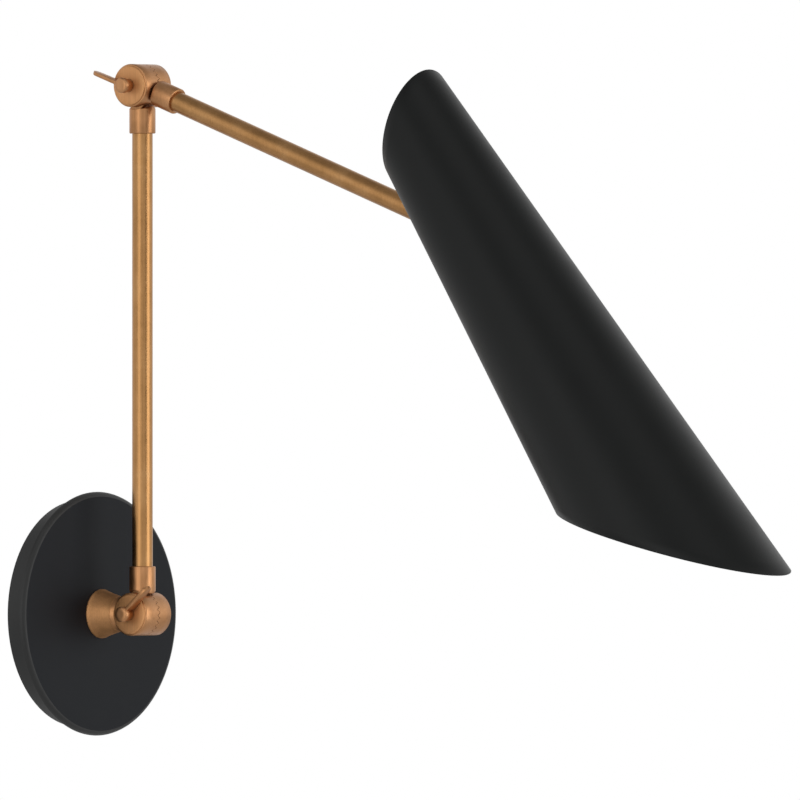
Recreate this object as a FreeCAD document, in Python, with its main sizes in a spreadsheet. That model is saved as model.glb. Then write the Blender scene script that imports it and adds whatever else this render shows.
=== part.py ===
import FreeCAD, Part
import math
import os
import Sketcher
from FreeCAD import Placement, Rotation, Vector

# An articulating wall lamp: a round canopy, two tube arms with toothed clamp knuckles, and a
# slender tapered shade that is cut on a slant at both ends. Millimetres, +Z up, the wall is the
# plane Y = 0 and the lamp stands out along -Y. The pose is the one in the photograph.

DIMENSIONS = [
    ("canopy_radius", 75.4, "front disc of the canopy"),
    ("canopy_rim_radius", 70.1, "smaller rim that stands on the wall"),
    ("canopy_depth", 17.3, "wall to front face"),
    ("disc_back", 13.4, "wall to the back edge of the overhanging disc"),
    ("sheet_metal", 1.6, "canopy wall"),
    ("nipple_radius", 5.0, "M10 threaded tube that holds the canopy"),
    ("bar_length", 112.0, "mounting bar"),
    ("bar_width", 20.0, "mounting bar"),
    ("bar_thickness", 2.4, "mounting bar"),
    ("slot_spacing", 79.4, "slot centre to slot centre, for 70 mm and 89 mm boxes"),
    ("slot_length", 14.0, "end to end"),
    ("slot_radius", 2.3, "half the slot's width"),
    ("flare_radius", 15.2, "foot of the flared stem"),
    ("flare_neck", 10.9, "stem where it meets the knuckle's collar"),
    ("flare_tip", 32.4, "wall to the narrow end of the stem"),
    ("pivot_depth", 49.9, "wall to the lower hinge axis"),
    ("arm_length", 326.0, "lower hinge axis to upper hinge axis"),
    ("forearm_length", 328.0, "upper hinge axis to shade hinge axis"),
    ("tube_radius", 6.35, "half-inch arm tube"),
    ("tube_wall", 1.0, "arm tube"),
    ("barrel_radius", 13.3, "knuckle barrel"),
    ("barrel_half", 12.2, "parting plane to the end of a half barrel"),
    ("cavity_radius", 9.3, "hollow of the barrel, where the wires pass"),
    ("end_wall", 3.0, "closed end of a half barrel"),
    ("cope_radius", 14.7, "saddle cut of the sleeves round the barrel"),
    ("sleeve_radius", 8.1, "sleeve round the tube's end"),
    ("sleeve_end", 29.5, "hinge axis to the sleeve's mouth"),
    ("socket_floor", 19.0, "hinge axis to the tube's end"),
    ("collar_radius", 10.6, "collar on the fixed knuckle half"),
    ("web_width", 5.5, "web that joins sleeve and barrel"),
    ("web_depth", 9.0, "web, round the barrel"),
    ("edge", 0.7, "small chamfers"),
    ("tooth_height", 1.3, "half the depth of the face teeth at the rim"),
    ("tooth_phase", 4.6, "crest of the teeth from the horizontal, degrees"),
    ("tooth_gap", 0.3, "axial play between meshed teeth"),
    ("screw_radius", 3.0, "M6 clamp screw"),
    ("thread_clearance", 0.06, "radial play round the clamp screw"),
    ("boss_radius", 5.4, "tapped boss in a half barrel"),
    ("cap_radius", 12.1, "end cap"),
    ("cap_thickness", 1.4, "end cap"),
    ("hub_radius", 4.3, "neck of the lever hub"),
    ("head_radius", 5.0, "head of the lever hub"),
    ("hub_length", 7.9, "lever hub"),
    ("lever_reach", 25.2, "hinge axis to the lever's tip"),
    ("lever_thickness", 2.2, "lever blade"),
    ("forearm_dip", 20.0, "upper arm below the horizontal, degrees"),
    ("shade_tilt", 37.1, "shade axis from the vertical, degrees"),
    ("shade_taper", 4.05, "half the cone's angle, degrees"),
    ("shade_offset", 50.0, "arm plane to shade axis"),
    ("shade_setback", 10.0, "hinge axis behind the shade axis"),
    ("apex_to_pivot", 514.0, "cone's apex to the hinge, along the shade axis"),
    ("apex_to_top", 413.0, "cone's apex to the top cut, along the axis"),
    ("apex_to_mouth", 728.7, "cone's apex to the mouth's cut, along the axis"),
    ("top_slant", 34.9, "top cut from square to the axis, degrees"),
    ("mouth_slant", 50.8, "mouth cut from square to the axis, degrees"),
    ("shade_wall", 1.0, "spun shade"),
    ("socket_radius", 17.5, "lampholder"),
    ("bulb_radius", 30.0, "bulb"),
    ("bulb_length", 108.0, "bulb, tip to shell"),
    ("bulb_wall", 1.2, "bulb's glass"),
]
TOOTH_COUNT = 24
NEAR, FAR = -1, 1          # side of the parting plane X = 0: towards -X or towards +X

doc = FreeCAD.newDocument("wall_lamp")
sheet = doc.addObject("Spreadsheet::Sheet", "Size")
for row, (alias, amount, note) in enumerate(DIMENSIONS, start=1):
    sheet.set(f"A{row}", note)
    sheet.set(f"B{row}", str(amount))
    sheet.setAlias(f"B{row}", alias)
doc.recompute()
sub_parts = []


def size(alias):
    """A driving dimension, read back from the sheet."""
    return float(sheet.get(alias))


def finish(thing, label, turn=0.0, at=(0.0, 0.0, 0.0)):
    """Name a sub-part and place it: turned about X by degrees, then moved."""
    thing.Label = label
    thing.Placement = Placement(Vector(*at), Rotation(Vector(1, 0, 0), turn))
    sub_parts.append(thing)
    return thing


# ---------------------------------------------------------------- sketches and features

def origin_feature(body, role):
    return next(item for item in body.Origin.OriginFeatures if item.Role == role)


def closed_profile(body, name, plane, corners):
    """A closed sketch of straight lines; corners are pairs of formulas of the sheet's cells."""
    sketch = body.newObject("Sketcher::SketchObject", name)
    sketch.AttachmentSupport = [(origin_feature(body, plane), "")]
    sketch.MapMode = "FlatFace"
    count = len(corners)
    ring = [Vector(math.cos(2 * math.pi * i / count), math.sin(2 * math.pi * i / count), 0)
            for i in range(count)]
    sketch.addGeometry([Part.LineSegment(ring[i], ring[(i + 1) % count]) for i in range(count)])
    for i in range(count):
        sketch.addConstraint(Sketcher.Constraint("Coincident", i, 2, (i + 1) % count, 1))
    for i, (across, up) in enumerate(corners):
        for kind, start, formula in (("DistanceX", ring[i].x, across), ("DistanceY", ring[i].y, up)):
            index = sketch.addConstraint(Sketcher.Constraint(kind, -1, 1, i, 1, start))
            sketch.setExpression(f"Constraints[{index}]", formula)
    return sketch


def spin(body, name, corners, axis="V_Axis", groove=False):
    """Revolve a profile drawn in the XZ plane about its V (Z) or H (X) axis."""
    kind = "PartDesign::Groove" if groove else "PartDesign::Revolution"
    feature = body.newObject(kind, name)
    feature.Profile = closed_profile(body, name + "_profile", "XZ_Plane", corners)
    feature.ReferenceAxis = (feature.Profile[0], [axis])
    feature.Angle = 360.0
    return feature


def turned(name, corners, axis="V_Axis"):
    """A turned piece: one body, one revolved profile."""
    body = doc.addObject("PartDesign::Body", name + "_body")
    spin(body, name + "_turning", corners, axis)
    return body


def slab(body, name, plane, corners, formula, pocket=False):
    """Pad (or pocket) a profile to both sides of its plane."""
    kind = "PartDesign::Pocket" if pocket else "PartDesign::Pad"
    feature = body.newObject(kind, name)
    feature.Profile = closed_profile(body, name + "_profile", plane, corners)
    feature.Midplane = True
    feature.setExpression("Length", formula)
    return feature


def rod(name, radius, length, along="z", at=("0", "0", "0")):
    """A plain cylinder with bound sizes, its foot at the point given by formulas."""
    piece = doc.addObject("Part::Cylinder", name)
    piece.setExpression("Radius", radius)
    piece.setExpression("Height", length)
    turn = {"z": Rotation(), "x": Rotation(Vector(0, 1, 0), 90), "y": Rotation(Vector(1, 0, 0), -90)}
    piece.Placement = Placement(Vector(), turn[along])
    for axis, formula in zip("xyz", at):
        piece.setExpression(f"Placement.Base.{axis}", formula)
    return piece


def block(name, sizes, at):
    """A box with bound sizes; at is its low corner."""
    piece = doc.addObject("Part::Box", name)
    for prop, formula in zip(("Length", "Width", "Height"), sizes):
        piece.setExpression(prop, formula)
    for axis, formula in zip("xyz", at):
        piece.setExpression(f"Placement.Base.{axis}", formula)
    return piece


def joined(name, pieces):
    result = doc.addObject("Part::MultiFuse", name)
    result.Shapes = pieces
    return result


def without(name, base, tools):
    """base with every tool cut away."""
    for number, tool in enumerate(tools, start=1):
        result = doc.addObject("Part::Cut", f"{name}_cut{number}")
        result.Base = base
        result.Tool = tool
        base = result
    return base


# ---------------------------------------------------------------- places of the joints

def pivots():
    """The three hinge axes as (Y, Z): lower knuckle, upper knuckle, shade knuckle."""
    dip = math.radians(size("forearm_dip"))
    lower = (-size("pivot_depth"), 0.0)
    upper = (lower[0], size("arm_length"))
    shade = (upper[0] - size("forearm_length") * math.cos(dip),
             upper[1] - size("forearm_length") * math.sin(dip))
    return lower, upper, shade


LOWER, UPPER, SHADE = ((0.0, y, z) for y, z in pivots())
FOREARM_TURN = 90.0 + size("forearm_dip")      # takes local +Z along the upper arm
SHADE_TURN = -size("shade_tilt")               # takes local -Z along the shade, down and out


# ---------------------------------------------------------------- wall side

def wall_canopy():
    """A dished cover: a rim on the wall and an overhanging disc with an eased front edge."""
    body = turned("wall_canopy", [
        ("Size.nipple_radius + 0.2", "Size.canopy_depth - Size.sheet_metal"),
        ("Size.nipple_radius + 0.2", "Size.canopy_depth"),
        ("Size.canopy_radius", "Size.canopy_depth"),
        ("Size.canopy_radius", "Size.disc_back"),
        ("Size.canopy_rim_radius", "Size.disc_back"),
        ("Size.canopy_rim_radius", "0"),
        ("Size.canopy_rim_radius - Size.sheet_metal", "0"),
        ("Size.canopy_rim_radius - Size.sheet_metal", "Size.canopy_depth - Size.sheet_metal"),
    ])
    doc.recompute()
    disc = body.Tip
    front, back = size("canopy_depth"), size("disc_back")
    for name, height, radius in (("front", front, "1.6"), ("back", back, "0.5")):
        round_rim(body, disc, f"canopy_{name}_round", height, size("canopy_radius"), radius)
        disc = body.Tip
    return finish(body, "wall_canopy", 90.0)


def round_rim(body, base, name, height, radius, formula):
    """Fillet the circular edge of a turned body found at this height and radius."""
    for number, edge in enumerate(base.Shape.Edges, start=1):
        curve = edge.Curve
        if not isinstance(curve, Part.Circle) or abs(curve.Radius - radius) > 0.01:
            continue
        if abs(curve.Center.z - height) < 0.01:
            fillet = body.newObject("PartDesign::Fillet", name)
            fillet.Base = (base, [f"Edge{number}"])
            fillet.setExpression("Radius", formula)
            doc.recompute()
            return
    raise RuntimeError(f"no edge for {name}")


def mounting_bar():
    """Flat bar with two slots for the wall box's screws, a tapped centre and a ground hole."""
    bar = block("bar_blank", ("Size.bar_length", "Size.bar_width", "Size.bar_thickness"),
                ("-Size.bar_length / 2", "-Size.bar_width / 2", "0"))
    tools = [rod("bar_centre", "Size.nipple_radius", "Size.bar_thickness + 2", at=("0", "0", "-1")),
             rod("bar_ground", "2.0", "Size.bar_thickness + 2", at=("20", "0", "-1"))]
    for side in (NEAR, FAR):
        word = "left" if side == NEAR else "right"
        half = "(Size.slot_length / 2 - Size.slot_radius)"
        middle = f"{side} * Size.slot_spacing / 2"
        tools.append(block(f"slot_{word}", (f"2 * {half}", "2 * Size.slot_radius", "Size.bar_thickness + 2"),
                           (f"{middle} - {half}", "-Size.slot_radius", "-1")))
        for end in (-1, 1):
            tools.append(rod(f"slot_{word}_end{end + 1}", "Size.slot_radius", "Size.bar_thickness + 2",
                             at=(f"{middle} + {end} * {half}", "0", "-1")))
    return finish(without("bar", bar, tools), "mounting_bar", 90.0)


def threaded_nipple():
    """The hollow threaded tube from the mounting bar, through the canopy, into the stem."""
    body = turned("threaded_nipple", [
        ("Size.nipple_radius - 1.2", "0.2"), ("Size.nipple_radius - 0.4", "0.2"),
        ("Size.nipple_radius", "0.6"), ("Size.nipple_radius", "25.6"),
        ("Size.nipple_radius - 0.4", "26"), ("Size.nipple_radius - 1.2", "26"),
    ])
    return finish(body, "threaded_nipple", 90.0)


def hexagon(name, across_flats, height, bore, at, turn=90.0, place=(0.0, 0.0, 0.0)):
    """A hexagon nut or head with a round hole."""
    prism = doc.addObject("Part::Prism", name + "_prism")
    prism.Polygon = 6
    prism.setExpression("Circumradius", f"{across_flats} / 1.7320508")
    prism.setExpression("Height", height)
    prism.setExpression("Placement.Base.z", at)
    hole = rod(name + "_hole", bore, f"{height} + 2", at=("0", "0", f"{at} - 1"))
    return finish(without(name, prism, [hole]), name, turn, place)


def lock_washer():
    """A star washer under the nipple's nut."""
    ring = rod("washer_disc", "8.4", "0.6", at=("0", "0", "Size.bar_thickness"))
    tools = [rod("washer_hole", "Size.nipple_radius + 0.2", "3", at=("0", "0", "Size.bar_thickness - 1"))]
    for number in range(10):
        tools.append(rod(f"washer_notch{number}", "0.9", "3", at=(
            f"8.6 * cos({36 * number})", f"8.6 * sin({36 * number})", "Size.bar_thickness - 1")))
    return finish(without("lock_washer", ring, tools), "lock_washer", 90.0)


def ground_screw():
    """The grounding screw on the mounting bar."""
    body = turned("ground_screw", [
        ("0", "0.2"), ("2.0", "0.2"), ("2.0", "Size.bar_thickness"), ("4.2", "Size.bar_thickness"),
        ("4.2", "Size.bar_thickness + 1.8"), ("3.4", "Size.bar_thickness + 2.6"),
        ("0", "Size.bar_thickness + 2.6"),
    ])
    return finish(body, "ground_screw", 90.0, (20.0, 0.0, 0.0))


def wall_stem():
    """The flared stem that screws down on the canopy; its narrow end seats the fixed knuckle."""
    body = turned("wall_stem", [
        ("Size.nipple_radius + 0.05", "Size.canopy_depth"), ("Size.flare_radius", "Size.canopy_depth"),
        ("Size.flare_radius", "Size.canopy_depth + 0.8"), ("Size.flare_neck", "Size.flare_tip - 1.4"),
        ("Size.flare_neck", "Size.flare_tip"), ("Size.tube_radius", "Size.flare_tip"),
        ("Size.tube_radius", "Size.canopy_depth + 7"),
        ("Size.nipple_radius + 0.05", "Size.canopy_depth + 7"),
    ])
    return finish(body, "wall_stem", 90.0)


# ---------------------------------------------------------------- knuckles

def tooth_cutter(name, side, turn):
    """Everything across the toothed parting surface of one half barrel.

    The flanks are flat triangles that meet at the hinge axis, so the teeth of both halves have the
    same radial lines and close on each other. turn puts the first crest at one world direction.
    """
    reach = 1.3
    outer = size("barrel_radius") * reach
    crest = size("tooth_height") * reach
    play = size("tooth_gap") / 2
    away = 6.0
    steps = 2 * TOOTH_COUNT
    surface, cap = [], []
    for i in range(steps):
        angle = 2 * math.pi * i / steps + math.radians(turn + size("tooth_phase"))
        y, z = outer * math.sin(angle), outer * math.cos(angle)
        height = crest if i % 2 == 0 else -crest
        surface.append(Vector(height + side * play, y, z))
        cap.append(Vector(-side * away, y, z))
    middle = Vector(side * play, 0, 0)
    cap_middle = Vector(-side * away, 0, 0)
    faces = []
    for i in range(steps):
        j = (i + 1) % steps
        for ring in ([middle, surface[i], surface[j]], [surface[i], cap[i], cap[j], surface[j]],
                     [cap_middle, cap[i], cap[j]]):
            faces.append(Part.Face(Part.makePolygon(ring + ring[:1])))
    shell = Part.makeShell(faces)
    shell.sewShape()
    solid = Part.makeSolid(shell)
    if solid.Volume < 0:
        solid.reverse()
    cutter = doc.addObject("Part::Feature", name)
    cutter.Shape = solid
    return cutter


def barrel_profile(side, tapped):
    """Half barrel about X: a cup open at the toothed face, with a plain bore or a tapped boss."""
    def out(formula):
        return f"{side} * ({formula})"
    rim = [
        (out("-Size.tooth_height - 0.2"), "Size.cavity_radius"),
        (out("-Size.tooth_height - 0.2"), "Size.barrel_radius"),
        (out("Size.barrel_half - Size.edge"), "Size.barrel_radius"),
        (out("Size.barrel_half"), "Size.barrel_radius - Size.edge"),
    ]
    inside = (out("Size.barrel_half - Size.end_wall"), "Size.cavity_radius")
    bore = "Size.screw_radius + Size.thread_clearance"
    if not tapped:
        return rim + [(out("Size.barrel_half"), bore),
                      (out("Size.barrel_half - Size.end_wall"), bore), inside]
    return rim + [
        (out("Size.barrel_half"), "0"), (out("Size.barrel_half - 1.6"), "0"),
        (out("Size.barrel_half - 1.6"), bore), (out("1.8"), bore), (out("1.8"), "Size.boss_radius"),
        (out("Size.barrel_half - Size.end_wall"), "Size.boss_radius"), inside]


TUBE_SLEEVE = [
    ("2.6", "9"), ("Size.sleeve_radius - Size.edge", "9"), ("Size.sleeve_radius - Size.edge", "12.8"),
    ("Size.sleeve_radius", "14.2"), ("Size.sleeve_radius", "Size.sleeve_end - Size.edge"),
    ("Size.sleeve_radius - Size.edge", "Size.sleeve_end"), ("Size.tube_radius", "Size.sleeve_end"),
    ("Size.tube_radius", "Size.socket_floor"), ("2.6", "Size.socket_floor"),
]
COLLAR = [
    ("2.6", "9"), ("Size.collar_radius", "9"), ("Size.collar_radius", "Size.pivot_depth - Size.flare_tip"),
    ("Size.tube_radius", "Size.pivot_depth - Size.flare_tip"),
    ("Size.tube_radius", "Size.pivot_depth - Size.canopy_depth - 9"),
    ("2.6", "Size.pivot_depth - Size.canopy_depth - 9"),
]


def arm_knuckle(label, side, tapped, sleeve, turn, at):
    """Half a knuckle with its saddle-cut sleeve: one casting, joined only by a web on its own side."""
    body = doc.addObject("PartDesign::Body", label + "_casting")
    spin(body, label + "_sleeve", sleeve)
    spin(body, label + "_cope", [("-12", "0"), ("12", "0"), ("12", "Size.cope_radius"),
                                 ("-12", "Size.cope_radius")], "H_Axis", groove=True)
    web = body.newObject("PartDesign::AdditiveBox", label + "_web")
    inner = f"{side} * (1.5 + Size.web_width / 2) - Size.web_width / 2"
    add_block(web, ("Size.web_width", "Size.web_depth", "5.4"), (inner, "-Size.web_depth / 2", "12"))
    spin(body, label + "_barrel", barrel_profile(side, tapped), "H_Axis")
    wire = body.newObject("PartDesign::SubtractiveCylinder", label + "_wire_way")
    wire.setExpression("Radius", "1.7")
    wire.setExpression("Height", "Size.socket_floor - 7")
    wire.Placement.Base = Vector(side * 3.4, 0, 8)
    cutter = tooth_cutter(label + "_tooth_cutter", side, turn)
    return finish(without(label, body, [cutter]), label, turn, at)


def add_block(feature, sizes, at):
    """Bind the sizes and the low corner of a box feature."""
    for prop, formula in zip(("Length", "Width", "Height"), sizes):
        feature.setExpression(prop, formula)
    for axis, formula in zip("xyz", at):
        feature.setExpression(f"Placement.Base.{axis}", formula)


def shade_knuckle():
    """The half barrel on the shade: tapped boss for the clamp screw, two tapped holes at the back."""
    body = doc.addObject("PartDesign::Body", "shade_knuckle_casting")
    spin(body, "shade_knuckle_barrel", barrel_profile(NEAR, True), "H_Axis")
    cutter = tooth_cutter("shade_knuckle_tooth_cutter", NEAR, SHADE_TURN)
    holes = [rod(f"shade_knuckle_hole{end + 1}", "1.5", "5", "x", ("-Size.barrel_half - 1", "0", f"{7.4 * end}"))
             for end in (-1, 1)]
    return finish(without("shade_knuckle", body, [cutter] + holes), "shade_knuckle", SHADE_TURN, SHADE)


def end_cap(label, side, turn, at):
    """Turned cap on the lever side of a knuckle, with the thin groove behind it."""
    def out(formula):
        return f"{side} * (Size.barrel_half + {formula})"
    body = turned(label, [
        (out("0"), "Size.screw_radius + 0.1"), (out("0"), "Size.cap_radius - 0.7"),
        (out("0.4"), "Size.cap_radius - 0.7"), (out("0.4"), "Size.cap_radius"),
        (out("Size.cap_thickness - Size.edge"), "Size.cap_radius"),
        (out("Size.cap_thickness"), "Size.cap_radius - Size.edge"),
        (out("Size.cap_thickness"), "Size.screw_radius + 0.1"),
    ], "H_Axis")
    return finish(body, label, turn, at)


def clamp_lever(label, side, turn, at):
    """Thumb lever: a round hub on the clamp screw and a flat blade that tapers to a blunt tip."""
    start = "Size.barrel_half + Size.cap_thickness + 0.3"

    def out(formula):
        return f"{side} * ({start} + {formula})"
    body = doc.addObject("PartDesign::Body", label + "_body")
    spin(body, label + "_hub", [
        (out("0"), "Size.screw_radius"), (out("0"), "Size.hub_radius"),
        (out("4"), "Size.hub_radius"), (out("4.8"), "Size.head_radius"),
        (out("Size.hub_length - 0.9"), "Size.head_radius"),
        (out("Size.hub_length"), "Size.head_radius - 1.1"), (out("Size.hub_length"), "0"),
        (out("Size.hub_length - 1.6"), "0"), (out("Size.hub_length - 1.6"), "Size.screw_radius"),
    ], "H_Axis")
    slab(body, label + "_blade", "XZ_Plane", [
        (out("0.3"), "Size.screw_radius + 0.3"), (out("0.3"), "Size.lever_reach - 8"),
        (out("1.2"), "Size.lever_reach - 1.6"), (out("1.9"), "Size.lever_reach - 0.4"),
        (out("3.0"), "Size.lever_reach"), (out("4.4"), "Size.lever_reach - 0.5"),
        (out("5.8"), "Size.lever_reach - 1.7"), (out("6.6"), "Size.lever_reach - 3.2"),
        (out("6.9"), "Size.lever_reach - 6"), (out("6.9"), "Size.screw_radius + 0.3"),
    ], "Size.lever_thickness")
    return finish(body, label, turn, at)


def clamp_screw(label, side, turn, at):
    """The clamp screw that draws the two toothed halves together and is the hinge's pin."""
    def out(formula):
        return f"{side} * ({formula})"
    hub_end = "Size.barrel_half + Size.cap_thickness + 0.3 + Size.hub_length - 1.6"
    body = turned(label, [
        (out(hub_end), "0"), (out(hub_end), "Size.screw_radius"),
        (out("-Size.barrel_half + 2.6"), "Size.screw_radius"),
        (out("-Size.barrel_half + 2.1"), "Size.screw_radius - 0.5"),
        (out("-Size.barrel_half + 2.1"), "0"),
    ], "H_Axis")
    return finish(body, label, turn, at)


def arm_tube(label, length_alias, turn, at):
    """Plain brass tube between two sleeves."""
    body = turned(label, [
        ("Size.tube_radius - Size.tube_wall", "Size.socket_floor"), ("Size.tube_radius", "Size.socket_floor"),
        ("Size.tube_radius", f"Size.{length_alias} - Size.socket_floor"),
        ("Size.tube_radius - Size.tube_wall", f"Size.{length_alias} - Size.socket_floor"),
    ])
    return finish(body, label, turn, at)


# ---------------------------------------------------------------- shade

def cone_radius(z_formula, inset):
    """Radius of the shade's cone at a height over the hinge, less an inset normal to the wall."""
    return (f"(Size.apex_to_pivot - ({z_formula})) * tan(Size.shade_taper)"
            f" - ({inset}) / cos(Size.shade_taper)")


def cone_body(name, inset):
    """The full cone about the shade's axis, longer than the shade at both ends."""
    top, foot = "190", "-330"
    return turned(name, [("0", foot), (cone_radius(foot, inset), foot), (cone_radius(top, inset), top),
                         ("0", top)])


def slant_plane(name, end, inset):
    """A big box beyond one slanted cut; inset moves its face into the shade."""
    alias, sign, slant = (("apex_to_top", 1, size("top_slant")) if end == "top"
                          else ("apex_to_mouth", -1, size("mouth_slant")))
    piece = doc.addObject("Part::Box", name)
    piece.Length, piece.Width, piece.Height = 400.0, 600.0, 300.0
    along = size("apex_to_pivot") - size(alias)
    turn = Rotation(Vector(1, 0, 0), -slant if sign > 0 else 180.0 + slant)
    corner = Vector(-200, -300, -inset)
    piece.Placement = Placement(Vector(0, 0, along) + turn.multVec(corner), turn)
    return piece


def shade_offset_at():
    """World place of the point on the shade's axis beside the hinge."""
    turn = Rotation(Vector(1, 0, 0), SHADE_TURN)
    local = Vector(-size("shade_offset"), -size("shade_setback"), 0)
    return tuple(Vector(*SHADE) + turn.multVec(local))


def in_shade(thing, label):
    """Place a piece that is modelled about the shade's own axis."""
    return finish(thing, label, SHADE_TURN, shade_offset_at())


def shade_holes(name, radius, low_x):
    """Two rods along X at the knuckle's screw holes, in the shade's own frame."""
    return [rod(f"{name}{end + 1}", radius, "60", "x", (low_x, "Size.shade_setback", f"{7.4 * end}"))
            for end in (-1, 1)]


def shade_shell():
    """Spun cone, open at the slanted mouth."""
    outside = cone_body("shade_outside", "0")
    inside = cone_body("shade_inside", "Size.shade_wall")
    tools = [inside, slant_plane("shade_top_cut", "top", 0.0), slant_plane("shade_mouth_cut", "mouth", 0.0)]
    return in_shade(without("shade_shell", outside, tools + shade_holes("shell_hole", "1.7", "0")), "shade_shell")


def shade_end_plate():
    """The oval plate that closes the slanted top, set a little inside the rim."""
    core = cone_body("end_plate_core", "Size.shade_wall")
    outer = slant_plane("end_plate_front", "top", 1.6)
    keep = without("end_plate_stock", core, [outer])
    inner = cone_body("end_plate_rest", "0.2")
    below = without("end_plate_below", inner, [slant_plane("end_plate_back", "top", 2.8)])
    return in_shade(without("end_plate", keep, [below]), "shade_end_plate")


def shade_saddle():
    """The pad between the knuckle's flat end and the round shade, cut to both."""
    blank = rod("saddle_blank", "Size.barrel_radius - 0.6", "14", "x",
                ("Size.shade_offset - Size.barrel_half - 14", "Size.shade_setback", "0"))
    outside = cone_body("saddle_cone", "0")
    return in_shade(without("shade_saddle", blank, [outside] + shade_holes("saddle_hole", "1.7", "20")),
                    "shade_saddle")


def socket_bracket():
    """Bracket inside the shade: a foot cut to the wall and a shelf that carries the lampholder."""
    foot = block("bracket_foot", ("8", "18", "26"), ("31", "Size.shade_setback - 9", "-13"))
    shelf = block("bracket_shelf", ("46", "Size.shade_setback + 18", "2"), ("-12", "-9", "11"))
    tools = [rod("bracket_hole", "5.2", "10", at=("0", "0", "8")),
             block("bracket_thin", ("8", "20", "22"), ("26", "Size.shade_setback - 10", "-13"))]
    raw = without("bracket_raw", joined("bracket_blank", [foot, shelf]), tools[:1])
    core = cone_body("bracket_core", "Size.shade_wall")
    fitted = doc.addObject("Part::Common", "bracket_fitted")
    fitted.Base = raw
    fitted.Tool = core
    return in_shade(without("socket_bracket", fitted, shade_holes("bracket_screw", "1.7", "20")),
                    "socket_bracket")


def bracket_screw(label, height):
    """A screw from inside the shade, through bracket, shell and saddle, into the knuckle's end."""
    place = ("Size.shade_setback", f"{height}")
    shank = rod(label + "_shank", "1.46", "12", "x", ("29",) + place)
    head = rod(label + "_head", "2.9", "2", "x", ("29",) + place)
    return in_shade(joined(label + "_blank", [shank, head]), label)


def lampholder():
    """Porcelain-lined lampholder hanging from the shelf, mouth towards the shade's opening."""
    body = turned("lampholder", [
        ("0", "8.4"), ("7", "8.4"), ("Size.socket_radius - 4", "5"), ("Size.socket_radius - 1.5", "1"),
        ("Size.socket_radius - 1.5", "-22"), ("Size.socket_radius", "-23"), ("Size.socket_radius", "-38"),
        ("Size.socket_radius - 3.4", "-38"), ("Size.socket_radius - 3.4", "-12"), ("0", "-12"),
    ])
    return in_shade(body, "lampholder")


def socket_nipple():
    """Short threaded tube and its nut, which hold the lampholder to the shelf."""
    tube = rod("socket_tube", "5.1", "9", at=("0", "0", "8.4"))
    nut = doc.addObject("Part::Prism", "socket_nut")
    nut.Polygon = 6
    nut.Circumradius = 8.2
    nut.Height = 3.2
    nut.Placement.Base = Vector(0, 0, 13)
    way = rod("socket_way", "3.6", "12", at=("0", "0", "7"))
    return in_shade(without("socket_nipple", joined("socket_nipple_blank", [tube, nut]), [way]), "socket_nipple")


def bulb_base():
    """Screw shell and tip contact of the bulb."""
    corners = [("0", "-12.4"), ("4", "-12.4"), ("5", "-14"), ("12", "-17")]
    for turn in range(5):
        corners += [("13.2", f"{-18.0 - 3.2 * turn}"), ("12.2", f"{-19.6 - 3.2 * turn}")]
    corners += [("13.2", "-34"), ("13.2", "-39.5"), ("0", "-39.5")]
    return in_shade(turned("bulb_base", corners), "bulb_base")


def bulb_glass():
    """The glass: a thin neck that swells into a ball, open where it meets the base."""
    outer, inner = bulb_outline(0.0), bulb_outline(size("bulb_wall"))
    ends = [Part.makeLine(outer[0].Vertexes[0].Point, inner[0].Vertexes[0].Point),
            Part.makeLine(outer[1].Vertexes[-1].Point, inner[1].Vertexes[-1].Point)]
    outline = Part.Wire(Part.__sortEdges__(outer + inner + ends))
    glass = doc.addObject("Part::Feature", "bulb_glass_blank")
    glass.Shape = Part.Face(outline).revolve(Vector(), Vector(0, 0, 1), 360)
    return in_shade(glass, "bulb_glass")


def bulb_outline(inset):
    """Neck spline and end arc of the bulb's section, set in by the glass."""
    ball, tip = size("bulb_radius") - inset, -39.5 - size("bulb_length") + 28 + inset
    centre = tip + ball
    edge = Vector(ball * math.cos(0.35), 0, centre + ball * math.sin(0.35))
    neck = Part.BSplineCurve()
    neck.interpolate([Vector(13 - inset, 0, -39.5), Vector(15.4 - inset, 0, -50),
                      Vector(21.5 - inset, 0, -62), edge])
    middle = Vector(ball * math.cos(-0.5), 0, centre + ball * math.sin(-0.5))
    return [neck.toShape(), Part.Arc(edge, middle, Vector(0, 0, tip)).toShape()]


# ---------------------------------------------------------------- the lamp

wall_canopy()
mounting_bar()
threaded_nipple()
lock_washer()
hexagon("nipple_nut", "14", "3.4", "Size.nipple_radius", "Size.bar_thickness + 0.6")
ground_screw()
wall_stem()
arm_knuckle("wall_knuckle", FAR, True, COLLAR, -90.0, LOWER)

arm_knuckle("lower_arm_foot", NEAR, False, TUBE_SLEEVE, 0.0, LOWER)
arm_knuckle("lower_arm_head", NEAR, False, TUBE_SLEEVE, 180.0, UPPER)
arm_tube("lower_arm_tube", "arm_length", 0.0, LOWER)
end_cap("lower_end_cap", NEAR, 0.0, LOWER)
end_cap("upper_end_cap", NEAR, 0.0, UPPER)

arm_knuckle("upper_arm_foot", FAR, True, TUBE_SLEEVE, FOREARM_TURN, UPPER)
arm_knuckle("upper_arm_head", FAR, False, TUBE_SLEEVE, FOREARM_TURN - 180.0, SHADE)
arm_tube("upper_arm_tube", "forearm_length", FOREARM_TURN, UPPER)
end_cap("shade_end_cap", FAR, FOREARM_TURN, SHADE)

LEVERS = [("lower", NEAR, 49.0, LOWER), ("upper", NEAR, -71.0, UPPER),
          ("shade", FAR, SHADE_TURN + 180.0, SHADE)]
for word, side, lever_turn, pivot in LEVERS:
    clamp_lever(f"{word}_clamp_lever", side, lever_turn, pivot)
    clamp_screw(f"{word}_clamp_screw", side, lever_turn, pivot)

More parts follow.
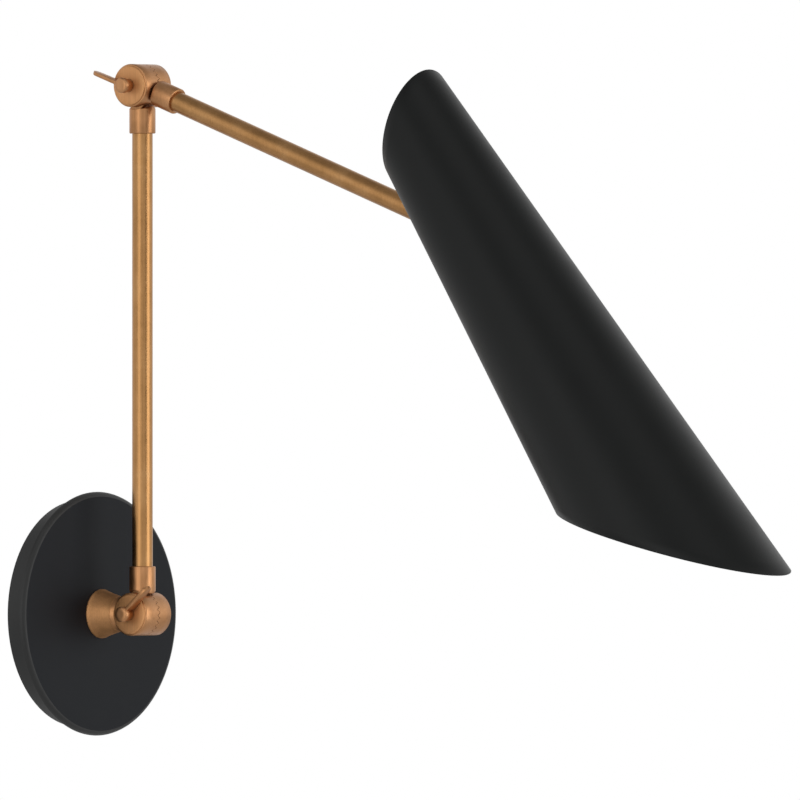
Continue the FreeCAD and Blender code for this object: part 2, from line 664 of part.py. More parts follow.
shade_knuckle()
shade_saddle()
shade_shell()
shade_end_plate()
socket_bracket()
bracket_screw("upper_bracket_screw", 7.4)
bracket_screw("lower_bracket_screw", -7.4)
socket_nipple()
lampholder()
bulb_base()
bulb_glass()

doc.recompute()
for thing in doc.Objects:
    if any(word in thing.State for word in ("Invalid", "Error")):
        raise RuntimeError(f"{thing.Label} failed: {thing.State}")
for thing in sub_parts:
    if thing.Shape.isNull() or not thing.Shape.isValid() or not thing.Shape.Solids:
        raise RuntimeError(f"{thing.Label} has no valid shape")
os.makedirs("parts", exist_ok=True)
for thing in sub_parts:
    thing.Shape.exportStep(f"parts/{thing.Label}.step")
    box = thing.Shape.BoundBox
    print(f"{thing.Label:20s} solids {len(thing.Shape.Solids)} volume {thing.Shape.Volume:10.1f}"
          f" x {box.XMin:7.1f} {box.XMax:7.1f} y {box.YMin:7.1f} {box.YMax:7.1f} z {box.ZMin:7.1f} {box.ZMax:7.1f}")
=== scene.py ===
"""Articulating wall lamp: its looks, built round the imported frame."""

import math

import bmesh
import bpy
from mathutils import Matrix, Vector


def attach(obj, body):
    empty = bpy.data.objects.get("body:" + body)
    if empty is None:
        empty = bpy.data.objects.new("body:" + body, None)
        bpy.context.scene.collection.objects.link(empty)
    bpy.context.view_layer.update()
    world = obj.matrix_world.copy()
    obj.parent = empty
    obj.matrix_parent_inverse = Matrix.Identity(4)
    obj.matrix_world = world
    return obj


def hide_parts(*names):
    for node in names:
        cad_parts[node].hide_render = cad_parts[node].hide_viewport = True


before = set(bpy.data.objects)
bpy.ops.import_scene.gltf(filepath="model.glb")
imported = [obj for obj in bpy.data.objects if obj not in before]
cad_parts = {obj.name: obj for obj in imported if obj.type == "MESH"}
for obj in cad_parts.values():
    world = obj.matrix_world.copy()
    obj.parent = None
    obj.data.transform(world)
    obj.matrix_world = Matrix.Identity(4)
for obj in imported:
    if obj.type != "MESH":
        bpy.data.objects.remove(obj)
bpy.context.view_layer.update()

# ---------------------------------------------------------------- sizes, in millimetres

MM = 0.001
SIDES = 96                      # segments round a turned piece
TEETH = 24
NEAR, FAR = -1, 1               # side of a knuckle's parting plane: towards -X or +X
BARREL_R, BARREL_HALF, CAVITY_R = 13.3, 12.2, 9.3
COPE_R, SLEEVE_R, SLEEVE_END, SOCKET_FLOOR, TUBE_R = 14.7, 8.1, 29.5, 19.0, 6.35
TOOTH_HEIGHT, TOOTH_GAP, TOOTH_PHASE = 1.3, 0.3, 4.6
SCREW_R, WIRE_R = 3.0, 2.6
CANOPY_FACE, STEM_TOP, COLLAR_FOOT = 17.3, 32.4, 26.3    # heights above the wall
CAP_THICK, LEVER_PLAY = 1.4, 0.3
PIVOT_DEPTH, ARM, FOREARM, DIP = 49.9, 326.0, 328.0, 20.0
SHADE_TILT, TAPER = -37.1, math.radians(4.05)
APEX, SHADE_X, SETBACK = 514.0, -50.0, 10.0
TOP_CUT, TOP_SLANT = APEX - 413.0, math.radians(34.9)
MOUTH_CUT, MOUTH_SLANT = APEX - 728.7, math.radians(50.8)

LOWER = Vector((0.0, -PIVOT_DEPTH, 0.0))
UPPER = Vector((0.0, -PIVOT_DEPTH, ARM))
SHADE = UPPER + Vector((0.0, -FOREARM * math.cos(math.radians(DIP)),
                        -FOREARM * math.sin(math.radians(DIP))))


def placing(turn, at):
    """Local frame of a piece: turned about X by degrees, then moved to a point in millimetres."""
    return Matrix.Translation(at) @ Matrix.Rotation(math.radians(turn), 4, "X")


ON_WALL = placing(90.0, Vector((0, 0, 0)))
SHADE_FRAME = placing(SHADE_TILT, SHADE) @ Matrix.Translation((SHADE_X, -SETBACK, 0.0))


# ---------------------------------------------------------------- nodes and materials

class Nodes:
    """Short way to build a material's node tree."""

    def __init__(self, name):
        self.material = bpy.data.materials.new(name)
        self.material.use_nodes = True
        self.tree = self.material.node_tree
        self.shader = self.tree.nodes["Principled BSDF"]

    def add(self, kind, **settings):
        """A new node with its own settings."""
        node = self.tree.nodes.new(kind)
        for key, value in settings.items():
            setattr(node, key, value)
        return node

    def link(self, source, target):
        self.tree.links.new(source, target)

    def place(self, scale=(1.0, 1.0, 1.0), turn=(0.0, 0.0, 0.0)):
        """Object coordinates, stretched and turned."""
        where = self.add("ShaderNodeTexCoord")
        mapping = self.add("ShaderNodeMapping")
        mapping.inputs["Scale"].default_value = scale
        mapping.inputs["Rotation"].default_value = turn
        self.link(where.outputs["Object"], mapping.inputs["Vector"])
        return mapping.outputs["Vector"]

    def noise(self, vector, scale, detail=4.0, roughness=0.55):
        """Fractal noise, about 0.3 to 0.7."""
        node = self.add("ShaderNodeTexNoise")
        node.inputs["Scale"].default_value = scale
        node.inputs["Detail"].default_value = detail
        node.inputs["Roughness"].default_value = roughness
        self.link(vector, node.inputs["Vector"])
        return node.outputs["Fac"]

    def ramp(self, factor, stops):
        """Colour ramp: stops are (position, colour)."""
        node = self.add("ShaderNodeValToRGB")
        ramp = node.color_ramp
        while len(ramp.elements) < len(stops):
            ramp.elements.new(0.5)
        for element, (position, colour) in zip(ramp.elements, stops):
            element.position = position
            element.color = (*colour, 1.0)
        self.link(factor, node.inputs["Fac"])
        return node.outputs["Color"]

    def spread(self, factor, low, high):
        """Map 0.3..0.7 of a noise to low..high."""
        node = self.add("ShaderNodeMapRange")
        node.inputs["From Min"].default_value = 0.3
        node.inputs["From Max"].default_value = 0.7
        node.inputs["To Min"].default_value = low
        node.inputs["To Max"].default_value = high
        self.link(factor, node.inputs["Value"])
        return node.outputs["Result"]

    def bump(self, height, distance, strength, under=None):
        """Relief of a depth in metres, on top of another relief if one is given."""
        node = self.add("ShaderNodeBump")
        node.inputs["Distance"].default_value = distance
        node.inputs["Strength"].default_value = strength
        self.link(height, node.inputs["Height"])
        if under is not None:
            self.link(under, node.inputs["Normal"])
        return node.outputs["Normal"]


def shade_of(colour, factor):
    """A lighter or darker shade of a colour."""
    return tuple(channel * factor for channel in colour)


def brass(name, grain_turn, rough, tint):
    """Antique brass: warm metal, brushed along the piece, with a brown patina and a tint per piece, which
    on the stem and end caps includes painted light.
    """
    n = Nodes(name)
    grain = n.noise(n.place((2600.0, 2600.0, 24.0), grain_turn), 1.0, 3.0)
    cloud = n.noise(n.place(), 55.0, 5.0, 0.62)
    fleck = n.noise(n.place(), 900.0, 3.0)
    patina, bare, bright = ((0.35, 0.180, 0.066), (0.43, 0.226, 0.088), (0.49, 0.273, 0.115))
    tone = n.ramp(cloud, [(place, tuple(channel * share for channel, share in zip(colour, tint)))
                          for place, colour in ((0.30, patina), (0.52, bare), (0.72, bright))])
    streak = n.ramp(grain, [(0.30, (0.80, 0.78, 0.76)), (0.55, (1.0, 1.0, 1.0)),
                            (0.75, (1.10, 1.08, 1.05))])
    mixed = n.add("ShaderNodeMix", data_type="RGBA", blend_type="MULTIPLY")
    mixed.inputs[0].default_value = 0.85
    n.link(tone, mixed.inputs[6])
    n.link(streak, mixed.inputs[7])
    n.link(mixed.outputs[2], n.shader.inputs["Base Color"])
    n.shader.inputs["Metallic"].default_value = 1.0
    n.link(n.spread(cloud, rough - 0.06, rough + 0.08), n.shader.inputs["Roughness"])
    fine = n.bump(grain, 0.00004, 0.5)
    n.link(n.bump(fleck, 0.00003, 0.5, fine), n.shader.inputs["Normal"])
    return n.material


def paint(name, colour, rough, shine=0.5):
    """Powder coat: nearly one colour, with a faint orange peel and slow changes of gloss."""
    n = Nodes(name)
    peel = n.noise(n.place(), 1300.0, 2.0)
    cloud = n.noise(n.place(), 30.0, 4.0)
    tone = n.ramp(cloud, [(0.3, shade_of(colour, 0.9)), (0.7, shade_of(colour, 1.12))])
    n.link(tone, n.shader.inputs["Base Color"])
    n.link(n.spread(cloud, rough - 0.03, rough + 0.04), n.shader.inputs["Roughness"])
    n.shader.inputs["Specular IOR Level"].default_value = shine
    n.link(n.bump(peel, 0.00004, 0.6), n.shader.inputs["Normal"])
    return n.material


def plated(name, colour, rough):
    """Zinc-plated or nickel hardware: cool metal with slight mottling."""
    n = Nodes(name)
    cloud = n.noise(n.place(), 260.0, 5.0)
    tone = n.ramp(cloud, [(0.3, shade_of(colour, 0.86)), (0.7, colour)])
    n.link(tone, n.shader.inputs["Base Color"])
    n.shader.inputs["Metallic"].default_value = 1.0
    n.link(n.spread(cloud, rough - 0.06, rough + 0.08), n.shader.inputs["Roughness"])
    n.link(n.bump(cloud, 0.00003, 0.4), n.shader.inputs["Normal"])
    return n.material


def opal(name):
    """Frosted white glass of the bulb."""
    n = Nodes(name)
    cloud = n.noise(n.place(), 120.0, 3.0)
    tone = n.ramp(cloud, [(0.3, (0.80, 0.79, 0.76)), (0.7, (0.86, 0.85, 0.82))])
    n.link(tone, n.shader.inputs["Base Color"])
    n.link(n.spread(cloud, 0.32, 0.40), n.shader.inputs["Roughness"])
    n.link(n.bump(cloud, 0.00002, 0.3), n.shader.inputs["Normal"])
    return n.material


ALONG_Z = (0.0, 0.0, 0.0)
ALONG_X = (0.0, math.radians(90.0), 0.0)
ALONG_Y = (math.radians(90.0), 0.0, 0.0)
# Brass tints per piece. The third is a pinker hue plus painted light: it makes the stem and the end caps
# about 1.4 times lighter, standing in for light that falls short on them.
DRAWN, CAST, SPUN_TINT_AND_PAINTED_LIGHT = (1.0, 1.0, 1.0), (1.10, 1.05, 1.22), (1.40, 1.39, 1.56)
BRASS_UP = brass("brass_upright", ALONG_Z, 0.32, DRAWN)
BRASS_FOREARM = brass("brass_forearm", (math.radians(-90.0 - DIP), 0.0, 0.0), 0.32, DRAWN)
BRASS_TURNED = brass("brass_turned", ALONG_X, 0.37, CAST)
BRASS_CAP = brass("brass_cap", ALONG_X, 0.56, SPUN_TINT_AND_PAINTED_LIGHT)
BRASS_STEM = brass("brass_stem", ALONG_Y, 0.52, SPUN_TINT_AND_PAINTED_LIGHT)
SHADE_BLACK = paint("shade_black", (0.0052, 0.0060, 0.0058), 0.42, 0.18)
SHADE_INSIDE = paint("shade_inside_white", (0.74, 0.73, 0.70), 0.5)
CANOPY_BLACK = paint("canopy_black", (0.0076, 0.0090, 0.0116), 0.54, 0.16)
# Lighter neutral grey for the canopy's rim and rounded edge: partly the rim's own tone, partly painted
# light on the faces the lamps catch.
CANOPY_EDGE_GREY_AND_PAINTED_LIGHT = paint("canopy_edge_grey_and_painted_light", (0.0200, 0.0205, 0.0205), 0.46, 0.32)
ZINC = plated("zinc", (0.60, 0.60, 0.58), 0.34)
NICKEL = plated("nickel", (0.66, 0.63, 0.58), 0.24)
GREEN = paint("ground_green", (0.02, 0.17, 0.05), 0.35)
HOLDER_BLACK = paint("holder_black", (0.022, 0.022, 0.022), 0.38)
OPAL = opal("opal_glass")


# ---------------------------------------------------------------- mesh helpers

def circle(segments, radius):
    """Points of a circle in the local XY plane."""
    angles = [2 * math.pi * i / segments for i in range(segments)]
    return [(radius * math.cos(a), radius * math.sin(a)) for a in angles]


def skin(rows, loop=False):
    """Faces between rings of equal length; loop joins the last ring to the first."""
    count = len(rows[0])
    vertices = [point for row in rows for point in row]
    faces = []
    pairs = len(rows) if loop else len(rows) - 1
    for r in range(pairs):
        a, b = r * count, ((r + 1) % len(rows)) * count
        for i in range(count):
            j = (i + 1) % count
            faces.append((a + i, a + j, b + j, b + i))
    if not loop:
        faces.append(tuple(range(count - 1, -1, -1)))
        faces.append(tuple((len(rows) - 1) * count + i for i in range(count)))
    return vertices, faces


def build(name, parts, matrix, material, bevel=0.0, sharp=32.0):
    """One object from (vertices, faces) islands in local millimetres; sharp is an angle in degrees."""
    vertices, faces = [], []
    for points, polygons in parts:
        base = len(vertices)
        vertices += [matrix @ Vector(p) * MM for p in points]
        faces += [tuple(base + i for i in polygon) for polygon in polygons]
    mesh = bpy.data.meshes.new(name)
    mesh.from_pydata(vertices, [], faces)
    mesh.validate()
    mesh.update()
    obj = bpy.data.objects.new(name, mesh)
    bpy.context.scene.collection.objects.link(obj)
    make_normals_outward(mesh)
    if bevel:
        soft = obj.modifiers.new("soft_edges", "BEVEL")
        soft.width = bevel * MM
        soft.segments = 2
        soft.limit_method = "ANGLE"
        soft.angle_limit = math.radians(sharp)
        soft.harden_normals = True
    mesh.polygons.foreach_set("use_smooth", [True] * len(mesh.polygons))
    mesh.set_sharp_from_angle(angle=math.radians(sharp))
    mesh.materials.append(material)
    return obj


def make_normals_outward(mesh):
    """Turn every face of the closed islands to the outside."""
    bm = bmesh.new()
    bm.from_mesh(mesh)
    bmesh.ops.recalc_face_normals(bm, faces=bm.faces)
    bm.to_mesh(mesh)
    bm.free()


def lathe(profile, axis="z", segments=SIDES):
    """Turn a closed section of (radius, height) pairs about local Z or X."""
    rows = []
    for radius, height in profile:
        ring = circle(segments, radius)
        if axis == "z":
            rows.append([(x, y, height) for x, y in ring])
        else:
            rows.append([(height, x, y) for x, y in ring])
    return skin(rows, loop=True)


def arc(centre, radius, start, end, steps):
    """Points of an arc in the (radius, height) plane, angles in degrees."""
    points = []
    for i in range(steps + 1):
        angle = math.radians(start + (end - start) * i / steps)
        points.append((centre[0] + radius * math.cos(angle), centre[1] + radius * math.sin(angle)))
    return points


def dress(obj, body, replaced):
    """Ride on a body and stand for CAD nodes."""
    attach(obj, body)
    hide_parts(*replaced)


# ---------------------------------------------------------------- wall side

def wall_canopy():
    """Dished disc with a softly rounded edge, on a smaller rim that stands on the wall."""
    segments = 256
    face = [(5.2, 15.7), (5.2, CANOPY_FACE), (16.0, CANOPY_FACE), (40.0, 17.15), (60.0, 16.98)]
    edge = arc((72.0, 13.6), 3.3, 90, 12, 12) + [(75.35, 13.9), (75.3, 13.6), (74.9, 13.4)]
    rim = [(70.1, 13.4), (70.1, 0.0)]
    hollow = [(68.5, 0.0), (68.5, 15.2)]
    shell = lathe(face + edge + rim + hollow, segments=segments)
    obj = build("canopy_shell", [shell], ON_WALL, CANOPY_BLACK)
    # The rounded edge and the rim take the lighter grey: a neutral tone of their own plus a painted
    # highlight on that side.
    obj.data.materials.append(CANOPY_EDGE_GREY_AND_PAINTED_LIGHT)
    for polygon in obj.data.polygons:
        rows = [index // segments for index in polygon.vertices]
        if len(face) < min(rows) and max(rows) < len(face + edge + rim):
            polygon.material_index = 1
    dress(obj, "wall_side", ["wall_canopy"])


def wall_stem():
    """Flared stem: a straight foot, a slightly hollow cone and a short collar."""
    wide, narrow, cone_from, cone_height = 15.0, 10.9, 18.3, 13.7
    bore, bore_end = 5.05, 24.3
    profile = [(bore, CANOPY_FACE), (15.2, CANOPY_FACE), (15.2, 17.9)]
    for i in range(9):
        share = i / 8
        profile.append((wide + (narrow - wide) * (share ** 0.9), cone_from + cone_height * share))
    profile += [(10.85, STEM_TOP - 0.1), (10.7, STEM_TOP), (TUBE_R, STEM_TOP), (TUBE_R, bore_end),
                (bore, bore_end)]
    obj = build("stem_flare", [lathe(profile)], ON_WALL, BRASS_STEM, 0.25)
    dress(obj, "wall_side", ["wall_stem"])


# ---------------------------------------------------------------- knuckles

def zigzag(angle, turn):
    """Parting height at the barrel's rim: crests at the same world angles in every half."""
    place = (angle - math.radians(turn + TOOTH_PHASE)) / (2 * math.pi) * TEETH
    share = place - math.floor(place)
    return TOOTH_HEIGHT * (4 * abs(share - 0.5) - 1)


def half_barrel(side, turn, tapped):
    """Toothed cup about X, with a boss inside if it is tapped for the clamp screw.

    The toothed rows follow the zigzag in proportion to their radius.
    """
    segments = TEETH * 8
    start = math.radians(turn + TOOTH_PHASE)
    play = side * TOOTH_GAP / 2
    bore = SCREW_R + 0.06
    boss_r, boss_end = 5.4, 1.8
    end, floor = BARREL_HALF, BARREL_HALF - 3.0
    teeth = [(CAVITY_R, None), ((CAVITY_R + BARREL_R) / 2, None), (BARREL_R, None)]
    rows = teeth + [(BARREL_R, 1.9), (BARREL_R, 6.0), (BARREL_R, end - 0.7),
                    (BARREL_R - 0.25, end - 0.25), (BARREL_R - 0.7, end)]
    if tapped:
        rows += [(bore, end), (bore, boss_end), (boss_r, boss_end), (boss_r, floor)]
    else:
        rows += [(bore, end), (bore, floor)]
    rows += [(CAVITY_R, floor), (CAVITY_R, 2.2)]
    rings = []
    for radius, height in rows:
        ring = []
        for i in range(segments):
            angle = start + 2 * math.pi * i / segments
            x = (play + zigzag(angle, turn) * radius / BARREL_R) if height is None else side * height
            ring.append((x, radius * math.sin(angle), radius * math.cos(angle)))
        rings.append(ring)
    return skin(rings, loop=True)


def coped(profile):
    """Turned about Z and cut below by the saddle round the barrel. A height of 0 lies on that cut."""
    rows = []
    for radius, height in profile:
        ring = circle(SIDES, radius)
        rows.append([(x, y, max(height, math.sqrt(COPE_R ** 2 - y ** 2))) for x, y in ring])
    return skin(rows, loop=True)


def tube_sleeve():
    """Sleeve that grips an arm tube: a short cone above the saddle, then straight."""
    return coped([(WIRE_R, 0.0), (5.0, 0.0), (6.9, 0.0), (7.4, 0.0), (SLEEVE_R, 14.2), (SLEEVE_R, 20.0),
                  (SLEEVE_R, SLEEVE_END - 0.6), (SLEEVE_R - 0.2, SLEEVE_END - 0.15),
                  (SLEEVE_R - 0.6, SLEEVE_END), (TUBE_R, SLEEVE_END), (TUBE_R, SOCKET_FLOOR),
                  (WIRE_R, SOCKET_FLOOR)])


def wall_collar():
    """Collar of the fixed half: it meets the stem's top, with a tenon inside the stem."""
    seat = PIVOT_DEPTH - STEM_TOP
    foot = PIVOT_DEPTH - COLLAR_FOOT
    return coped([(WIRE_R, 0.0), (6.0, 0.0), (9.5, 0.0), (9.9, 15.0), (10.75, seat - 0.1), (10.6, seat),
                  (TUBE_R, seat), (TUBE_R, foot - 0.4), (TUBE_R - 0.4, foot), (WIRE_R, foot)])


def web(side):
    """Neck between barrel and sleeve, waisted like a cast fillet."""
    middle, half_x, half_y, roundness = 4.25, 2.6, 4.3, 0.45
    rows = []
    for height, grow in ((11.6, 1.9), (12.6, 1.0), (13.4, 0.35), (14.3, 0.0), (15.4, 0.0), (17.6, 0.1)):
        row = []
        for c, s in circle(32, 1.0):
            x = side * middle + (half_x + grow * 0.3) * math.copysign(abs(c) ** roundness, c)
            y = (half_y + grow) * math.copysign(abs(s) ** roundness, s)
            row.append((x, y, height))
        rows.append(row)
    return skin(rows)


def casting(name, side, tapped, turn, at, sleeve, body):
    """One cast piece: a toothed half barrel, its sleeve and the web between them."""
    parts = [half_barrel(side, turn, tapped), sleeve, web(side)]
    obj = build(name + "_casting", parts, placing(turn, at), BRASS_TURNED, 0.16, 30.0)
    dress(obj, body, [name])


def tube(name, length, turn, at, body, material):
    """Arm tube with its open ends just inside the sleeves."""
    wall = 1.0
    end = length - SOCKET_FLOOR
    profile = [(TUBE_R - wall, SOCKET_FLOOR), (TUBE_R - 0.2, SOCKET_FLOOR), (TUBE_R, SOCKET_FLOOR + 0.2)]
    profile += [(TUBE_R, SOCKET_FLOOR + (length - 2 * SOCKET_FLOOR) * i / 12) for i in range(1, 12)]
    profile += [(TUBE_R, end - 0.2), (TUBE_R - 0.2, end), (TUBE_R - wall, end)]
    obj = build(name + "_pipe", [lathe(profile)], placing(turn, at), material)
    dress(obj, body, [name])


def end_cap(name, side, turn, at, body):
    """Turned cap with an eased rim, seated on the barrel's end."""
    bore = SCREW_R + 0.1
    steps = [(bore, 0.0), (12.2, 0.0), (12.25, 0.1), (12.25, 0.6), (12.1, 0.95)]
    steps += [(11.8, 1.25), (11.3, CAP_THICK), (8.0, CAP_THICK), (bore, CAP_THICK)]
    profile = [(radius, side * (BARREL_HALF + height)) for radius, height in steps]
    obj = build(name + "_disc", [lathe(profile, "x", 128)], placing(turn, at), BRASS_CAP, sharp=40.0)
    dress(obj, body, [name])


def lever(word, side, turn, at, body):
    """Thumb lever: a necked hub with an eased head, and a thin blade with a slanted blunt tip."""
    start = BARREL_HALF + CAP_THICK + LEVER_PLAY
    hub_steps = [(SCREW_R, 0.0), (3.9, 0.0), (4.05, 0.2), (4.05, 3.8)] + arc((4.75, 3.9), 0.7, 180, 90, 5)
    hub_steps += [(4.75, 4.8), (4.75, 6.9), (4.6, 7.25), (4.2, 7.65), (3.7, 7.9), (2.0, 7.9), (0.02, 7.9),
                  (0.02, 6.3), (SCREW_R, 6.3)]
    hub = lathe([(radius, side * (start + height)) for radius, height in hub_steps], "x", 64)
    outline = [(0.3, 3.3), (0.3, 10.0), (0.3, 17.2), (0.7, 20.8), (1.2, 24.0), (1.9, 25.4), (3.0, 25.9),
               (4.4, 25.4), (5.8, 24.1), (6.6, 22.5), (6.9, 19.2), (6.9, 10.0), (6.9, 3.3)]
    blade = blade_between(side, start, outline, 1.1, 0.35)
    obj = build(word + "_lever_blade", [hub, blade], placing(turn, at), BRASS_TURNED, sharp=40.0)
    dress(obj, body, [word + "_clamp_lever"])


def blade_between(side, start, outline, half, ease):
    """Flat blade from an outline of (X, reach), with eased long edges on both faces."""
    centre_x = sum(x for x, _ in outline) / len(outline)
    centre_r = sum(r for _, r in outline) / len(outline)
    rows = []
    for inset, lift in ((ease, -half), (ease * 0.3, -half + ease * 0.3), (0.0, -half + ease),
                        (0.0, half - ease), (ease * 0.3, half - ease * 0.3), (ease, half)):
        row = []
        for x, reach in outline:
            out = Vector((x - centre_x, reach - centre_r))
            pulled = out - out.normalized() * inset
            row.append((side * (start + centre_x + pulled.x), lift, centre_r + pulled.y))
        rows.append(row)
    return skin(rows)


# ---------------------------------------------------------------- shade

def cone(z):
    """Radius of the shade's cone at a height of its own frame."""
    return (APEX - z) * math.tan(TAPER)


def cut_height(angle, cut, slope):
    """Height where the cone's line at this angle meets a slanted plane z = cut + slope * y."""
    rise = math.tan(TAPER) * math.sin(angle)
    return (cut + slope * APEX * rise) / (1 + slope * rise)


def shade_point(angle, share, inset, short):
    """Point of the shade's wall: share 0 at the mouth, 1 at the top cut, short of both cuts."""
    low = cut_height(angle, MOUTH_CUT, math.tan(MOUTH_SLANT)) + short
    high = cut_height(angle, TOP_CUT, -math.tan(TOP_SLANT)) - short
    z = low + (high - low) * share
    radius = cone(z) - inset / math.cos(TAPER)
    return (radius * math.cos(angle), radius * math.sin(angle), z)


def shade_shell():
    """Spun shell: outer skin, rounded rims at both cuts, inner skin in a pale finish."""
    segments, levels, wall, lip = 192, 40, 1.0, 0.25
    rim = [(0.12, 0.06), (0.35, 0.0), (0.65, 0.0), (0.88, 0.06)]
    angles = [2 * math.pi * i / segments for i in range(segments)]
    rows = [[shade_point(a, k / levels, 0.0, lip) for a in angles] for k in range(levels + 1)]
    rows += [[shade_point(a, 1.0, inset, short) for a in angles] for inset, short in rim]
    inner_from = len(rows)
    rows += [[shade_point(a, k / levels, wall, lip) for a in angles] for k in range(levels, -1, -1)]
    inner_to = len(rows)
    rows += [[shade_point(a, 0.0, inset, short) for a in angles] for inset, short in reversed(rim)]
    obj = build("shade_cone", [skin(rows, loop=True)], SHADE_FRAME, SHADE_BLACK, sharp=60.0)
    obj.data.materials.append(SHADE_INSIDE)
    for polygon in obj.data.polygons:
        row = min(polygon.vertices) // segments
        if inner_from <= row < inner_to - 1 and max(polygon.vertices) < inner_to * segments:
            polygon.material_index = 1
    dress(obj, "shade_head", ["shade_shell"])


def plain_barrel(name, side, turn, at, body):
    """Toothed half with no sleeve, for the shade's own side of its knuckle."""
    obj = build(name + "_cup", [half_barrel(side, turn, True)], placing(turn, at), BRASS_TURNED, 0.16, 30.0)
    dress(obj, body, [name])


# ---------------------------------------------------------------- the lamp

wall_canopy()
wall_stem()
casting("wall_knuckle", FAR, True, -90.0, LOWER, wall_collar(), "wall_side")
casting("lower_arm_foot", NEAR, False, 0.0, LOWER, tube_sleeve(), "lower_arm")
casting("lower_arm_head", NEAR, False, 180.0, UPPER, tube_sleeve(), "lower_arm")
casting("upper_arm_foot", FAR, True, 90.0 + DIP, UPPER, tube_sleeve(), "upper_arm")
casting("upper_arm_head", FAR, False, DIP - 90.0, SHADE, tube_sleeve(), "upper_arm")
tube("lower_arm_tube", ARM, 0.0, LOWER, "lower_arm", BRASS_UP)
tube("upper_arm_tube", FOREARM, 90.0 + DIP, UPPER, "upper_arm", BRASS_FOREARM)
end_cap("lower_end_cap", NEAR, 0.0, LOWER, "lower_arm")
end_cap("upper_end_cap", NEAR, 0.0, UPPER, "lower_arm")
end_cap("shade_end_cap", FAR, 90.0 + DIP, SHADE, "upper_arm")
lever("lower", NEAR, 49.0, LOWER, "lower_lever")
lever("upper", NEAR, -71.0, UPPER, "upper_lever")
lever("shade", FAR, SHADE_TILT + 180.0, SHADE, "shade_lever")
plain_barrel("shade_knuckle", NEAR, SHADE_TILT, SHADE, "shade_head")
shade_shell()

KEPT = {
    "mounting_bar": ZINC, "threaded_nipple": ZINC, "lock_washer": ZINC, "nipple_nut": ZINC,
    "ground_screw": GREEN, "lower_clamp_screw": ZINC, "upper_clamp_screw": ZINC,
    "shade_clamp_screw": ZINC, "shade_saddle": SHADE_BLACK, "shade_end_plate": SHADE_BLACK,
    "socket_bracket": ZINC, "upper_bracket_screw": ZINC, "lower_bracket_screw": ZINC,
    "socket_nipple": ZINC, "lampholder": HOLDER_BLACK, "bulb_base": NICKEL, "bulb_glass": OPAL,
}
for node, material in KEPT.items():
    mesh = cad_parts[node].data
    mesh.materials.clear()
    mesh.materials.append(material)


# ---------------------------------------------------------------- floor, light and camera, in metres

MIDDLE = Vector((0.0, -0.25, 0.15))
FLOOR_R, FLOOR_Z, FLOOR_SIDES = 25.0, -1.5, 96
HORIZON, CEILING, CEILING_GREY = 0.45, 0.85, 0.36


def area(name, place, width, height, power):
    """Soft rectangular lamp that faces the middle of the object."""
    light = bpy.data.lights.new(name, "AREA")
    light.shape = "RECTANGLE"
    light.size, light.size_y = width, height
    light.energy = power
    obj = bpy.data.objects.new(name, light)
    bpy.context.scene.collection.objects.link(obj)
    obj.location = place
    obj.rotation_euler = (MIDDLE - Vector(place)).to_track_quat("-Z", "Y").to_euler()


def dark_overhead(tree):
    """White round the horizon, where the camera looks, and grey high up, like a studio's ceiling."""
    where = tree.nodes.new("ShaderNodeTexCoord")
    split = tree.nodes.new("ShaderNodeSeparateXYZ")
    tree.links.new(where.outputs["Generated"], split.inputs[0])
    ramp = tree.nodes.new("ShaderNodeValToRGB")
    low, high = ramp.color_ramp.elements
    low.position = HORIZON
    low.color = (1.0, 1.0, 1.0, 1.0)
    high.position = CEILING
    high.color = (CEILING_GREY, CEILING_GREY, CEILING_GREY, 1.0)
    tree.links.new(split.outputs["Z"], ramp.inputs["Fac"])
    return ramp.outputs["Color"]


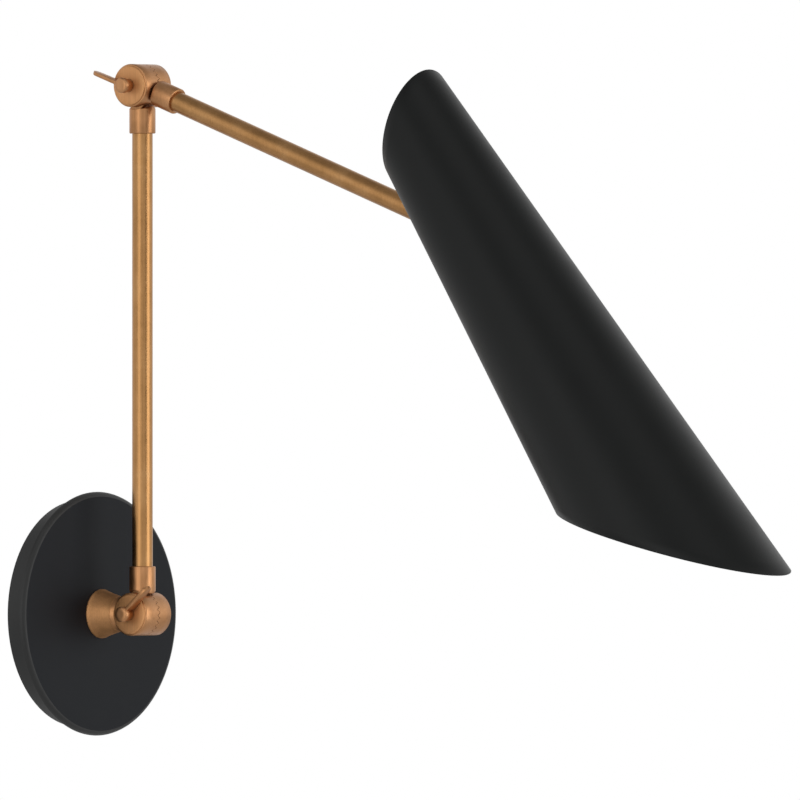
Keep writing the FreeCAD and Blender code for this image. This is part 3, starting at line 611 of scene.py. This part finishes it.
def show_white(tree, lit, out, rays, white):
    """Give each named kind of ray its share of the white shader, and all others the lit one."""
    path = tree.nodes.new("ShaderNodeLightPath")
    most = None
    for ray, share in rays.items():
        part = tree.nodes.new("ShaderNodeMath")
        part.operation = "MULTIPLY"
        part.inputs[1].default_value = share
        tree.links.new(path.outputs[ray], part.inputs[0])
        if most is None:
            most = part.outputs[0]
            continue
        either = tree.nodes.new("ShaderNodeMath")
        either.operation = "MAXIMUM"
        tree.links.new(most, either.inputs[0])
        tree.links.new(part.outputs[0], either.inputs[1])
        most = either.outputs[0]
    mix = tree.nodes.new("ShaderNodeMixShader")
    tree.links.new(most, mix.inputs[0])
    tree.links.new(lit, mix.inputs[1])
    tree.links.new(white, mix.inputs[2])
    tree.links.new(mix.outputs[0], out)


world = bpy.data.worlds.new("studio")
bpy.context.scene.world = world
world.use_nodes = True
sky = world.node_tree.nodes["Background"]
sky.inputs["Color"].default_value = (1.0, 1.0, 1.0, 1.0)
sky.inputs["Strength"].default_value = 0.45
backdrop = world.node_tree.nodes.new("ShaderNodeBackground")
backdrop.inputs["Strength"].default_value = 1.0
world.node_tree.links.new(dark_overhead(world.node_tree), backdrop.inputs["Color"])
show_white(world.node_tree, sky.outputs[0], world.node_tree.nodes["World Output"].inputs["Surface"],
           {"Is Camera Ray": 1.0, "Is Glossy Ray": 1.0, "Is Transmission Ray": 1.0}, backdrop.outputs[0])

floor_mesh = bpy.data.meshes.new("floor")
floor_mesh.from_pydata([(x, y, FLOOR_Z) for x, y in circle(FLOOR_SIDES, FLOOR_R)], [], [range(FLOOR_SIDES)])
floor = bpy.data.objects.new("floor", floor_mesh)
bpy.context.scene.collection.objects.link(floor)
pale = Nodes("floor_pale")
pale.shader.inputs["Base Color"].default_value = (0.86, 0.86, 0.86, 1.0)
pale.shader.inputs["Roughness"].default_value = 0.8
glow = pale.add("ShaderNodeEmission")
glow.inputs["Strength"].default_value = 0.7
show_white(pale.tree, pale.shader.outputs[0], pale.tree.nodes["Material Output"].inputs["Surface"],
           {"Is Glossy Ray": 1.0, "Is Camera Ray": 0.6}, glow.outputs[0])
floor_mesh.materials.append(pale.material)

area("key", (-2.29, -0.15, 0.2), 1.1, 2.2, 8)
area("fill", (0.80, -2.76, 0.1), 1.7, 2.2, 22)
area("top", (-0.6, -1.0, 2.2), 1.4, 1.4, 5)

camera = bpy.data.cameras.new("camera")
camera.lens = 872.8
camera.sensor_width = 36.0
camera.clip_end = 100.0
eye = bpy.data.objects.new("camera", camera)
bpy.context.scene.collection.objects.link(eye)
eye.location = (-9.26705, -7.62377, 0.13211)
eye.rotation_euler = (math.radians(90.0), 0.0, math.radians(-51.502))
bpy.context.scene.camera = eye
bpy.context.scene.view_settings.view_transform = "Standard"
